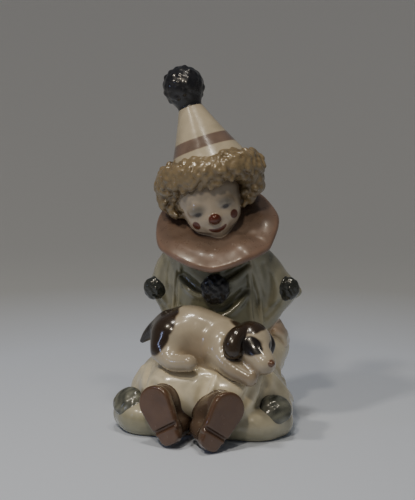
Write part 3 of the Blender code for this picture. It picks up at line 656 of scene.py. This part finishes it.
def puppy():
    """The puppy lying across the lap, head on its paw, with a hanging ear and a short tail."""
    back = [(-13.8, 2.5, 10.5), (-6.5, 1.5, 11.8), (3, 1, 10), (11, -1, 8.6)]
    hind = [(-15.8, -9.2, 4.9), (-10.6, -14.6, 2.0), (-4.0, -16.8, 2.5)]
    front = [(7, -9, 5), (12.4, -14, 1.0), (20.6, -17.6, -2.4)]
    flank = PUPPY.ball((-1.8, -16.6, 7.0), (4.0, 5.6, 8.0))
    return [
        add(PUPPY.limb(back, [9.6, 10.2, 9.0, 8.0], 8)),
        add(PUPPY.ball((-13, -4.6, 9.6), (9.2, 8.6, 9.6)), 0.003),
        add(PUPPY.ball((7.5, -6.5, 7.4), (7.2, 6.8, 8)), 0.003),
        add(PUPPY.limb([(-8, -4, 4), (6, -5, 3)], [8.4, 8.0]), 0.004),
        cut(flank, 0.005),
        add(PUPPY.limb(hind, [5.3, 3.8, 3.5], 5), 0.0035),
        add(PUPPY.limb(front, [5.6, 4.4, 3.3], 5), 0.002),
        add(tail(), 0.0015),
        add(PUPPY.ball((19.3, -6.6, 10), (8.4, 8, 8.3)), 0.0015),
        add(PUPPY.limb([(20.8, -10, 7.6), (26.2, -15.6, 3.6)], [6.6, 4.7]), 0.003),
        add(PUPPY.ball((29.6, -18.8, 4.4), (1.5, 1.4, 1.3)), 0.0004),
        add(near_ear(), 0.0006),
        add(far_ear(), 0.0006),
    ]


def tail():
    """The short tail that lies down behind the rump."""
    line = [(-17, 3, 14.0), (-21.6, 5, 11.2), (-25.8, 7, 7.8), (-28.8, 8, 4.8)]
    return PUPPY.limb(line, [4.4, 3.7, 2.5, 1.1], 4)


def near_ear():
    """The ear that hangs in front, a thick leaf from the crown to the cheek."""
    line = [(18.0, -8.6, 15.4), (15.0, -12.2, 13.4), (13.6, -14.6, 10.6), (13.8, -15.6, 8.4)]
    return PUPPY.limb(line, [2.6, 3.8, 4.2, 3.9], 5)


def far_ear():
    """The ear on the far side of the head."""
    return PUPPY.limb([(23.8, -2.0, 13), (26.2, -2.4, 8.4), (26.2, -3, 5.4)], [2, 2.6, 2.0], 5)


def within(form, points, soft=0.0003):
    """1 on the skin of a form, 0 away from it."""
    return 1 - smooth_step(form.distance(*points.T), soft, 3 * soft)


def spot(local, centre, radii, soft=0.15):
    """A soft-edged ellipsoid of paint, 1 inside and 0 outside."""
    near = np.sqrt(sum(((q - c) / r) ** 2 for q, c, r in zip(local, centre, radii)))
    return 1 - smooth_step(near, 1 - soft, 1 + soft)


def wobble(local, size):
    """An uneven hand's shift of a painted edge, in local units."""
    x, y, z = local
    waves = np.sin(0.4 * x + 0.3 * z + 1) + np.sin(0.6 * z - 0.3 * y) + 0.5 * np.sin(0.9 * x + y)
    return size * waves / 2


def hat_paint(points):
    """The mauve band that rings the cone, a little uneven as a brush leaves it."""
    x, y, z = HAT.local(points)
    middle = 10.4 + 0.2 * np.sin(2 * np.arctan2(y, x) + 1)
    band = 1 - smooth_step(np.abs(z - middle), 2.3, 2.7)
    return {"band": band}


def face_paint(points):
    """Lowered eyes in a grey shade, a round nose, dots on the cheeks and a smile."""
    local = HEAD.local(points)
    x, y, z = local
    front = 1 - smooth_step(y, -8, -6)
    red = spot(local, (0, -15.5, -3.4), (2.75, 4, 2.6), 0.06)
    for s in SIDES:
        red = np.maximum(red, spot(local, (8.1 * s, -12.6, -4.6), (1.55, 5, 1.95), 0.08))
    width = 3.9
    line = -8.7 + 0.10 * x * x
    thick = 1.2 * np.sqrt(np.clip(1 - (x / width) ** 2, 0, 1)) - 0.15
    smile = (1 - smooth_step(np.abs(z - line) - thick, -0.1, 0.2)) * front
    shade = np.zeros(len(points))
    dark = np.zeros(len(points))
    for s in SIDES:
        shade = np.maximum(shade, spot(local, (6.1 * s, -13, 1.7), (3.2, 5, 2.1), 0.75))
        lid = 0.5 - 0.09 * (x - 6.0 * s) ** 2
        reach = 0.6 * (1 - smooth_step(np.abs(x - 6.0 * s), 1.2, 2.9))
        dark = np.maximum(dark, reach * (1 - smooth_step(np.abs(z - lid), 0.1, 0.8)) * front)
        dark = np.maximum(dark, spot(local, (5.9 * s, -13, 0.1), (1.5, 5, 0.95), 0.5))
    return {"red": np.maximum(red, smile), "shade": shade * front, "dark": dark}


def collar_paint(points):
    """The darker line of colour along the rim and the deeper tone towards the neck."""
    x, y, z = COLLAR.local(points)
    r = np.hypot(x, y)
    return {"rim": smooth_step(r, 23.6, 25.4), "deep": 1 - smooth_step(r, 10, 22)}


def jacket_paint(points):
    """The darker panel between the two edges that run down the chest."""
    x, y, z = BODY.local(points)
    panel = 1 - smooth_step(np.abs(x), 13.5 + 0.06 * (68 - z), 15 + 0.06 * (68 - z))
    return {"panel": panel * (1 - smooth_step(y, -2, 4))}


def trouser_paint(points):
    """A lap painted paler as painted light, a greener tone darkened by painted shade towards the hems, a
    blush between the shoes and the unglazed foot.
    """
    x, y, z = LEG.local(points)
    # Painted light: the lap, where it faces up, is painted paler
    lap = smooth_step(z, 12, 20) * smooth_step(y, -10, -22)
    blush = smooth_step(z, 15, 4) * (1 - smooth_step(np.abs(x + 2), 6, 15)) * (1 - smooth_step(y, -24, -16))
    # Painted shade under the rolled hems of the cuffs, heavier on the -X cuff, laid into the green tone
    hem = smooth_step(z, 13, 7) * smooth_step(np.abs(x), 16, 22) * (0.4 + 0.6 * smooth_step(x, 12, -12))
    green_and_shade = np.maximum(0.4 * smooth_step(z, 22, 8) + 0.3 * smooth_step(z, 9, 3), hem)
    return {"lap": lap, "green_and_shade": green_and_shade, "blush": blush, "foot": 1 - smooth_step(z, 0.15, 0.4)}


def trim_paint(points):
    """Pale streaks in the tufts on the cuffs."""
    x, y, z = points.T / 0.001
    broad = 0.22 * np.sin(0.7 * x + 0.6 * z + 1.8 * np.sin(0.5 * z - 0.4 * x))
    fine = 0.16 * np.sin(1.7 * x - 1.3 * y + 2 * np.sin(0.9 * z))
    return {"pale": smooth_step(z, 45, 42) * (0.55 + broad + fine)}


def hand_paint(points):
    """Cream where the fingers pass into the cloth's colour."""
    return {"cream": smooth_step(points[:, 2], 0.038, 0.034)}


def shoe_paint(points):
    """The sole's face, in a pinker tone than the upper."""
    face = np.zeros(len(points))
    for s in SIDES:
        x, y, z = shoe_place(s).local(points)
        near = (np.abs(x) < 10) & (np.abs(z) < 14)
        face = np.maximum(face, near * (1 - smooth_step(y, -2.6, -1.4)))
    return {"sole": face}


def puppy_paint(points):
    """Brown on the rump, the crown and the ears, nearly black round the eye and on the tail, and painted
    shade on the flank, the chest and the front legs.
    """
    local = PUPPY.local(points)
    x, y, z = local
    warped = local + wobble(local, 0.8)
    brown = spot(warped, (-19.4, -4, 13), (6.9, 22, 9.4), 0.07)
    brown = np.maximum(brown, spot(warped, (-16.4, 0, 17.5), (6.6, 22, 8.4), 0.07))
    brown = np.maximum(brown, spot(warped, (18.6, -4.0, 18.2), (9.6, 13, 4.6), 0.08))
    brown = np.maximum(brown, within(near_ear(), points))
    dark = within(tail(), points)
    dark = np.maximum(dark, within(far_ear(), points))
    dark = np.maximum(dark, spot(warped, (20.6, -15.5, 10.4), (4.9, 7, 4.0), 0.12))
    dark = np.maximum(dark, spot(warped, (28.0, -8.5, 8.6), (2.0, 4.0, 2.6), 0.12))
    # Painted shade: darker in the flank's hollow, low on the chest and on the front legs
    chest = smooth_step(x, 4, 12) * smooth_step(z, 7, -2)
    shade = np.maximum(spot(local, (-2.0, -13, 6.5), (5.5, 8, 7.5), 0.85), chest)
    eye = spot(local, (24.0, -16.5, 9.0), (1.9, 5, 1.5), 0.2)
    nose = spot(local, (29.8, -18.9, 4.5), (1.7, 1.9, 1.6), 0.15)
    return {"shade": shade, "brown": brown, "dark": dark, "eye": eye, "nose": nose}


class Glaze:
    """A painted and glazed material, whose paint is laid on by masks that the mesh carries."""

    def __init__(self, name, colour):
        self.material = bpy.data.materials.new(name)
        self.material.use_nodes = True
        self.tree = self.material.node_tree
        self.shader = self.tree.nodes["Principled BSDF"]
        self.colour = self.cloudy(colour)

    def node(self, kind, **inputs):
        """A new node, with each named input set to a value or linked to another node's output."""
        made = self.tree.nodes.new("ShaderNode" + kind)
        for key, value in inputs.items():
            socket = made.inputs[key]
            if isinstance(value, bpy.types.NodeSocket):
                self.tree.links.new(value, socket)
            else:
                socket.default_value = value
        return made

    def mask(self, name):
        made = self.node("Attribute")
        made.attribute_name = name
        return made.outputs["Fac"]

    def noise(self, scale, detail=2.0):
        place = self.node("TexCoord").outputs["Object"]
        return self.node("TexNoise", Vector=place, Scale=scale, Detail=detail).outputs["Fac"]

    def between(self, value, from_low, from_high, low, high):
        made = self.node("MapRange", Value=value)
        keys = "From Min", "From Max", "To Min", "To Max"
        for key, number in zip(keys, (from_low, from_high, low, high)):
            made.inputs[key].default_value = number
        return made.outputs["Result"]

    def blended(self, share, first, second, kind="MIX"):
        made = self.tree.nodes.new("ShaderNodeMix")
        made.data_type = "RGBA"
        made.blend_type = kind
        sockets = [made.inputs[0], made.inputs[6], made.inputs[7]]
        for socket, value in zip(sockets, (share, first, second)):
            if isinstance(value, bpy.types.NodeSocket):
                self.tree.links.new(value, socket)
            elif socket is made.inputs[0]:
                socket.default_value = value
            else:
                socket.default_value = (*value, 1)
        return made.outputs[2]

    def cloudy(self, colour, spread=0.10):
        """A colour with the slow unevenness of a hand-dipped glaze."""
        low = [c * (1 - spread) for c in colour]
        high = [min(1, c * (1 + spread * 0.7)) for c in colour]
        return self.blended(self.between(self.noise(140), 0.35, 0.65, 0, 1), low, high)

    def thinned(self, colour, share=0.7):
        """Lets the pale body show where the glaze runs thin on the crests, before paint goes on."""
        self.colour = self.blended(self.between(self.mask("crest"), 0.35, 1, 0, share), self.colour, colour)
        return self

    def paint(self, name, colour, share=1.0):
        """Lays a colour over what is there, where the mesh's mask says."""
        part = self.between(self.mask(name), 0, 1, 0, share)
        self.colour = self.blended(part, self.colour, self.cloudy(colour, 0.16))
        return self

    def fired(self, pooled_and_shaded, pool_and_shade=0.8, roughness=0.22, ripple=0.25, gloss=0.5):
        """Glaze that pools in the pits and nooks, darkened further there by painted shade, under a clear
        gloss.
        """
        # Pooled glaze and painted shade: the colour is multiplied darker in the pits and in the nooks
        # between parts
        self.colour = self.blended(
            self.between(self.mask("pit"), 0.1, 0.9, 0, pool_and_shade), self.colour, pooled_and_shaded, "MULTIPLY"
        )
        self.colour = self.blended(
            self.between(self.mask("nook"), 0.15, 0.95, 0, pool_and_shade * 0.75), self.colour, pooled_and_shaded, "MULTIPLY"
        )
        self.tree.links.new(self.colour, self.shader.inputs["Base Color"])
        rough = self.between(self.noise(420, 3.0), 0.3, 0.7, roughness - 0.05, roughness + 0.06)
        self.tree.links.new(rough, self.shader.inputs["Roughness"])
        self.shader.inputs["IOR"].default_value = 1.5
        self.shader.inputs["Coat Weight"].default_value = gloss
        self.shader.inputs["Coat Roughness"].default_value = 0.09
        self.shader.inputs["Coat IOR"].default_value = 1.5
        bump = self.node("Bump", Height=self.noise(190, 1.5), Strength=ripple, Distance=0.0004)
        self.tree.links.new(bump.outputs["Normal"], self.shader.inputs["Normal"])
        return self.material


CREAM = (0.46, 0.40, 0.29)
WHITE = (0.54, 0.48, 0.37)
# The colour that pooled glaze and painted shade multiply in, in pits and nooks
POOLED_AND_SHADED = (0.55, 0.47, 0.36)


def hat_glaze():
    glaze = Glaze("hat_glaze", CREAM).thinned(WHITE)
    return glaze.paint("band", (0.17, 0.118, 0.092)).fired(POOLED_AND_SHADED)


def tuft_glaze():
    glaze = Glaze("tuft_glaze", (0.010, 0.010, 0.013)).thinned((0.040, 0.040, 0.044), 0.8)
    return glaze.fired((0.35, 0.35, 0.42), 0.9, 0.30, 0.5, 0.35)


def trim_glaze():
    glaze = Glaze("trim_glaze", (0.030, 0.033, 0.028)).thinned((0.10, 0.10, 0.085), 0.8)
    return glaze.paint("pale", (0.22, 0.225, 0.18), 0.9).fired((0.30, 0.32, 0.30), 0.9, 0.24, 0.4)


def hair_glaze():
    glaze = Glaze("hair_glaze", (0.21, 0.16, 0.09)).thinned((0.46, 0.39, 0.25), 0.85)
    return glaze.fired((0.40, 0.31, 0.20), 0.8, 0.28, 0.3, 0.35)


def face_glaze():
    glaze = Glaze("face_glaze", (0.42, 0.355, 0.275)).thinned((0.48, 0.42, 0.32))
    glaze.paint("shade", (0.20, 0.185, 0.160)).paint("dark", (0.026, 0.018, 0.014))
    return glaze.paint("red", (0.095, 0.018, 0.006)).fired((0.60, 0.50, 0.42), 0.5)


def ruff_glaze():
    glaze = Glaze("ruff_glaze", (0.19, 0.128, 0.095)).thinned((0.28, 0.20, 0.155))
    glaze.paint("deep", (0.17, 0.125, 0.098), 0.7).paint("rim", (0.235, 0.145, 0.105), 0.6)
    return glaze.fired((0.55, 0.42, 0.34), 0.8, 0.30, 0.3, 0.12)


def tunic_glaze():
    glaze = Glaze("tunic_glaze", (0.32, 0.305, 0.22)).thinned((0.50, 0.45, 0.34))
    glaze.paint("panel", (0.20, 0.20, 0.135), 0.9)
    return glaze.fired((0.45, 0.45, 0.34))


def skin_glaze():
    glaze = Glaze("skin_glaze", (0.54, 0.41, 0.30)).thinned((0.60, 0.50, 0.39))
    return glaze.paint("cream", (0.58, 0.52, 0.40), 0.9).fired((0.50, 0.36, 0.26))


def trouser_glaze():
    glaze = Glaze("trouser_glaze", (0.60, 0.545, 0.40)).thinned((0.64, 0.58, 0.44))
    # Painted light on the lap; a green tone with painted shade low on the legs and at the hems
    glaze.paint("lap", (0.78, 0.70, 0.51)).paint("green_and_shade", (0.29, 0.275, 0.185))
    glaze.paint("blush", (0.30, 0.20, 0.145), 0.8)
    return glaze.paint("foot", (0.42, 0.38, 0.31)).fired((0.60, 0.53, 0.39), 0.5)


def shoe_glaze():
    glaze = Glaze("shoe_glaze", (0.105, 0.072, 0.050)).thinned((0.18, 0.13, 0.092))
    return glaze.paint("sole", (0.115, 0.062, 0.036)).fired((0.40, 0.32, 0.26))


def puppy_glaze():
    glaze = Glaze("puppy_glaze", (0.47, 0.405, 0.30)).thinned(WHITE)
    # Painted shade on the flank, the chest and the front legs
    glaze.paint("shade", (0.27, 0.21, 0.145), 0.75)
    glaze.paint("brown", (0.034, 0.021, 0.012)).paint("dark", (0.010, 0.006, 0.004))
    glaze.paint("eye", (0.007, 0.005, 0.004)).paint("nose", (0.14, 0.07, 0.038))
    return glaze.fired((0.55, 0.47, 0.38), 0.7)


def net(grid, field):
    """A closed mesh of four-sided faces along the field's zero, one point to a cell that it crosses."""
    inside = field < 0
    block = tuple(n - 1 for n in grid.shape)
    total = np.zeros(block, np.int8)
    for corner in product((0, 1), repeat=3):
        total += inside[tuple(slice(c, n + c) for c, n in zip(corner, block))]
    cells = np.argwhere((total > 0) & (total < 8))
    number = np.full(block, -1)
    number[tuple(cells.T)] = np.arange(len(cells))
    sums = np.zeros((len(cells), 3))
    count = np.zeros((len(cells), 1))
    faces = []
    for axis in range(3):
        way = np.eye(3, dtype=int)[axis]
        u, v = np.eye(3, dtype=int)[(axis + 1) % 3], np.eye(3, dtype=int)[(axis + 2) % 3]
        for side in (0 * u, u, v, u + v):
            start = cells + side
            a, b = field[tuple(start.T)], field[tuple((start + way).T)]
            crossed = (a < 0) != (b < 0)
            share = a[crossed] / (a[crossed] - b[crossed])
            sums[crossed] += start[crossed] + share[:, None] * way
            count[crossed] += 1
        span = tuple(slice(0 if w else 1, n) for w, n in zip(way, block))
        ahead = tuple(slice(s.start + w, s.stop + w) for s, w in zip(span, way))
        edges = np.argwhere(inside[span] != inside[ahead]) + [s.start for s in span]
        ring = [number[tuple((edges - side).T)] for side in (0 * u, u, u + v, v)]
        leaves = inside[tuple(edges.T)][:, None]
        faces.append(np.where(leaves, np.column_stack(ring), np.column_stack(ring[::-1])))
    return grid.first + sums / count * grid.step, np.vstack(faces)


def larger_skins(points, faces):
    """The connected surfaces that hold more than a hundredth of the points, without the crumbs."""
    label = np.arange(len(points))
    while True:
        lowest = label[faces].min(axis=1)
        best = label.copy()
        for k in range(4):
            np.minimum.at(best, faces[:, k], lowest)
        best = best[best]
        if (best == label).all():
            break
        label = best
    counts = np.bincount(label, minlength=len(points))
    kept = faces[counts[label[faces[:, 0]]] > len(points) / 100]
    used, index = np.unique(kept, return_inverse=True)
    return points[used], index.reshape(-1, 4)


def grid_over(strokes, step):
    """A grid that just holds what the strokes add, from the floor up."""
    added = [stroke.form for stroke in strokes if not stroke.cuts]
    low = np.min([form.low for form in added], axis=0)
    high = np.max([form.high for form in added], axis=0)
    return Grid((low[0], low[1], max(low[2], 0)), high, step)


def sculpted(name, strokes, seat, step, paint, material, slot, nooks):
    """One closed mesh with a fillet where it sits on its seat, its masks and its glaze."""
    grid = grid_over(strokes, step)
    own = grid.measured(strokes)
    field = own
    if seat:
        below = grid.measured(seat) + SEAM_SUNK
        field = np.maximum(smooth_min(own, below, SEAM_FILLET), own - SEAM_FILLET)
    field = np.maximum(field, -grid.axes[2])
    points, faces = larger_skins(*net(grid, field))
    for _ in range(3):
        slope = grid.slope(field, points)
        points = points - slope * grid.sampled(field, points)[:, None] * 0.8
    points[:, 2] = np.maximum(points[:, 2], 0)
    out = grid.slope(field, points)
    mesh = bpy.data.meshes.new(name)
    mesh.from_pydata(points.tolist(), [], faces.tolist())
    mesh.shade_smooth()
    mesh.materials.append(material)
    nook_grid, nook_field = nooks
    # Pooled glaze and painted shade: how closed the space just outside the skin is, near and wider, sets
    # the pit and nook masks
    open_near = grid.sampled(field, points + out * PIT_REACH) / PIT_REACH
    open_wide = nook_grid.sampled(nook_field, points + out * NOOK_REACH) / NOOK_REACH
    thick = -grid.sampled(field, points - out * PIT_REACH) / PIT_REACH
    masks = dict(paint(points)) if paint else {}
    masks["pit"] = 1 - np.clip(open_near, 0, 1)
    masks["nook"] = 1 - np.clip(open_wide, 0, 1)
    masks["crest"] = 1 - np.clip(thick, 0, 1)
    for key, values in masks.items():
        layer = mesh.attributes.new(key, "FLOAT", "POINT")
        layer.data.foreach_set("value", np.ascontiguousarray(values, np.float32))
    piece = bpy.data.objects.new(name, mesh)
    bpy.context.scene.collection.objects.link(piece)
    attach(piece, "root")
    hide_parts(NODE)
    return piece, points


def figurine():
    """Every piece of the figurine, and the shift that centres them as the solid is centred."""
    legs, cloth, ruff, skull, cone = trousers(), jacket(), collar(), head(), hat()
    curls, dog, palms = hair(), puppy(), hands()
    shoes = {s: shoe(s) for s in SIDES}
    whole = [legs, cloth, ruff, skull, cone, curls, dog, palms, *shoes.values()]
    # One coarse field of the whole figurine, for the pooled glaze and painted shade in the nooks between
    # parts
    nook_grid = grid_over([stroke for part in whole for stroke in part], NOOK_STEP)
    nook_field = np.minimum.reduce([nook_grid.measured(part) for part in whole])
    nooks = nook_grid, np.maximum(nook_field, -nook_grid.axes[2])
    tufts, trims = tuft_glaze(), trim_glaze()
    leather = shoe_glaze()
    # Each piece's name, strokes, seat, grid step, paint, material and slot
    rows = [
        ("trousers", legs, [], 0.00055, trouser_paint, trouser_glaze(), "trouser_glaze"),
        ("tunic", cloth, legs, 0.00045, jacket_paint, tunic_glaze(), "tunic_glaze"),
        ("hands", palms, legs + cloth, 0.00035, hand_paint, skin_glaze(), "skin_glaze"),
        ("ruff", ruff, cloth, 0.00042, collar_paint, ruff_glaze(), "ruff_glaze"),
        ("face", skull, ruff, 0.00030, face_paint, face_glaze(), "face_glaze"),
        ("hat", cone, [], 0.00040, hat_paint, hat_glaze(), "hat_glaze"),
        ("hair", curls, skull + cone, 0.00035, None, hair_glaze(), "hair_glaze"),
        ("hat_pompom", hat_pompom(), cone, 0.00028, None, tufts, "tuft_glaze"),
        ("chest_pompom", chest_button(cloth), cloth, 0.00025, None, tufts, "tuft_glaze"),
        ("side_pompoms", side_buttons(cloth, legs), cloth + legs, 0.00028, trim_paint, trims, "tuft_glaze"),
        ("puppy", dog, legs + cloth, 0.00042, puppy_paint, puppy_glaze(), "puppy_glaze"),
        ("shoe_right", shoes[-1], legs, 0.00040, shoe_paint, leather, "shoe_glaze"),
        ("shoe_left", shoes[1], legs, 0.00040, shoe_paint, leather, "shoe_glaze"),
    ]
    pieces, corners = [], []
    for row in rows:
        piece, points = sculpted(*row, nooks)
        pieces.append(piece)
        corners += [points.min(axis=0), points.max(axis=0)]
        print("piece", row[0], len(piece.data.polygons) * 2)
    middle = (np.min(corners, axis=0) + np.max(corners, axis=0)) / 2
    cad_low, cad_high = (np.array(corner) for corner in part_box(NODE))
    shift = (cad_low + cad_high) / 2 - middle
    shift[2] = 0
    for piece in pieces:
        piece.location = shift
    return shift


def stage(shift):
    """A pale floor that fills the view, with painted light and shade in its tone, soft lamps and the camera
    at the photograph's angle.
    """
    rings, spokes = 40, 96
    flat, reach, steep = 0.42, 1.7, 0.55
    corners = [(0, 0, 0)]
    for radius in np.linspace(flat / 4, reach, rings):
        height = steep * max(radius - flat, 0) ** 2
        for angle in np.arange(spokes) * 2 * math.pi / spokes:
            corners.append((radius * math.cos(angle), radius * math.sin(angle), height))
    turns = [(k, (k + 1) % spokes) for k in range(spokes)]
    faces = [(0, 1 + k, 1 + n) for k, n in turns]
    for ring in range(rings - 1):
        inner, outer = 1 + ring * spokes, 1 + (ring + 1) * spokes
        faces += [(inner + k, outer + k, outer + n, inner + n) for k, n in turns]
    mesh = bpy.data.meshes.new("floor")
    mesh.from_pydata(corners, [], faces)
    mesh.shade_smooth()
    floor = bpy.data.objects.new("floor", mesh)
    bpy.context.scene.collection.objects.link(floor)
    material = bpy.data.materials.new("floor")
    material.use_nodes = True
    shader = material.node_tree.nodes["Principled BSDF"]
    place = material.node_tree.nodes.new("ShaderNodeNewGeometry")
    away = material.node_tree.nodes.new("ShaderNodeVectorMath")
    away.operation = "LENGTH"
    # Painted light and shade on the floor: pale and bluish near the figurine, a darker grey band of painted
    # shade further off, pale again up the far rise
    tone = material.node_tree.nodes.new("ShaderNodeValToRGB")
    tone.color_ramp.elements[0].position = 0.15
    tone.color_ramp.elements.new(0.30)
    floor_light_and_shade = (0.70, 0.77, 0.90), (0.57, 0.59, 0.60), (0.96, 0.95, 0.92)
    for stop, colour in zip(tone.color_ramp.elements, floor_light_and_shade):
        stop.color = (*colour, 1)
    for source, target in (
        (place.outputs["Position"], away.inputs[0]),
        (away.outputs["Value"], tone.inputs[0]),
        (tone.outputs["Color"], shader.inputs["Base Color"]),
    ):
        material.node_tree.links.new(source, target)
    shader.inputs["Roughness"].default_value = 0.55
    mesh.materials.append(material)

    world = bpy.data.worlds.new("studio")
    bpy.context.scene.world = world
    world.use_nodes = True
    sky = world.node_tree.nodes["Background"]
    sky.inputs["Color"].default_value = (0.60, 0.64, 0.72, 1)
    sky.inputs["Strength"].default_value = 0.14

    aim = Vector((0, 0, 0.07))
    # Each lamp's name, place, width, colour and power
    lamps = [
        ("ceiling", (-0.03, -0.05, 0.66), 0.07, (1.0, 0.93, 0.82), 0.75),
        ("spot_left", (-0.24, -0.26, 0.56), 0.045, (1.0, 0.90, 0.74), 0.85),
        ("spot_middle", (-0.04, -0.42, 0.50), 0.045, (1.0, 0.88, 0.70), 0.80),
        ("spot_right", (0.13, -0.14, 0.62), 0.045, (1.0, 0.90, 0.74), 0.35),
        ("window", (-0.55, -0.45, 0.32), 0.06, (0.50, 0.60, 1.0), 0.22),
    ]
    for name, at, width, colour, power in lamps:
        light = bpy.data.lights.new(name, "AREA")
        light.size = width
        light.color = colour
        light.energy = power
        lamp = bpy.data.objects.new(name, light)
        bpy.context.scene.collection.objects.link(lamp)
        lamp.location = at
        lamp.rotation_euler = (aim - Vector(at)).to_track_quat("-Z", "Y").to_euler()

    azimuth, elevation = math.radians(10.7), math.radians(10.0)
    distance, span = 0.6, 0.2089
    right = Vector((math.cos(azimuth), math.sin(azimuth), 0))
    ahead = Vector((-math.sin(azimuth), math.cos(azimuth), 0)) * math.cos(elevation)
    ahead.z = -math.sin(elevation)
    target = Vector(shift) - right * 0.0035 + Vector((0, 0, 0.0725))
    lens = bpy.data.cameras.new("camera")
    lens.sensor_fit = "VERTICAL"
    lens.sensor_height = 36
    lens.lens = 36 * distance / span
    lens.clip_start = 0.01
    camera = bpy.data.objects.new("camera", lens)
    bpy.context.scene.collection.objects.link(camera)
    camera.location = target - ahead * distance
    camera.rotation_euler = ahead.to_track_quat("-Z", "Y").to_euler()
    bpy.context.scene.camera = camera


stage(figurine())
